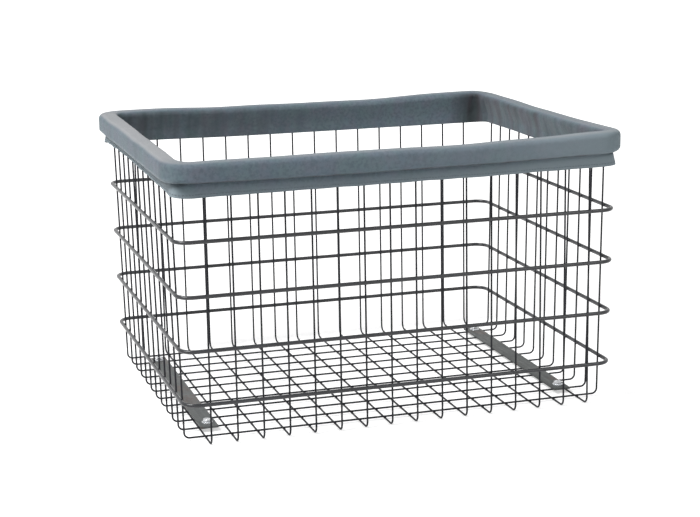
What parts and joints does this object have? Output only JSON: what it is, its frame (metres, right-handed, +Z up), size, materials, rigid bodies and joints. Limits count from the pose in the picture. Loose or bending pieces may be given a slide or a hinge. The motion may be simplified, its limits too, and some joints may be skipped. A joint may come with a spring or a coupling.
{
  "type": "wire basket",
  "caption": "Rectangular welded wire basket, open at the top, with heavier ring wires, a padded fabric-covered rim and two bolted flat bars on its wire floor.",
  "frame": {"origin": "middle of the basket's footprint, on the surface that the floor wires stand on", "axes": "+X along the long side, +Y from the front to the back wall, +Z up out of the open top"},
  "size_m": [0.6832, 0.548, 0.404],
  "materials": {
    "coated_wire": "thin glossy dark charcoal coating on round steel wire",
    "ring_wire": "glossy dark charcoal coating on heavier round steel wire",
    "foam": "open foam, hidden under the cover",
    "cover": "slate blue-grey coated fabric with a fine weave, dull sheen and a sewn groove",
    "flat_bar": "worn dull grey coating on flat steel bar, slightly olive",
    "zinc": "bright zinc plate"
  },
  "bodies": {
    "root": {"cross_wire_01": "coated_wire", "cross_wire_02": "coated_wire", "cross_wire_03": "coated_wire", "cross_wire_04": "coated_wire", "cross_wire_05": "coated_wire", "cross_wire_06": "coated_wire", "cross_wire_07": "coated_wire", "cross_wire_08": "coated_wire", "cross_wire_09": "coated_wire", "cross_wire_10": "coated_wire", "cross_wire_11": "coated_wire", "cross_wire_12": "coated_wire", "cross_wire_13": "coated_wire", "cross_wire_14": "coated_wire", "cross_wire_15": "coated_wire", "cross_wire_16": "coated_wire", "long_wire_01": "coated_wire", "long_wire_02": "coated_wire", "long_wire_03": "coated_wire", "long_wire_04": "coated_wire", "long_wire_05": "coated_wire", "long_wire_06": "coated_wire", "long_wire_07": "coated_wire", "long_wire_08": "coated_wire", "long_wire_09": "coated_wire", "long_wire_10": "coated_wire", "long_wire_11": "coated_wire", "long_wire_12": "coated_wire", "ring_wire_01": "ring_wire", "ring_wire_02": "ring_wire", "ring_wire_03": "ring_wire", "ring_wire_04": "ring_wire", "top_frame": "ring_wire", "bumper_pad": "foam", "bumper_cover": "cover", "mounting_bar_left": "flat_bar", "mounting_bar_right": "flat_bar", "bolts": "zinc", "washers": "zinc"}
  },
  "joints": []
}
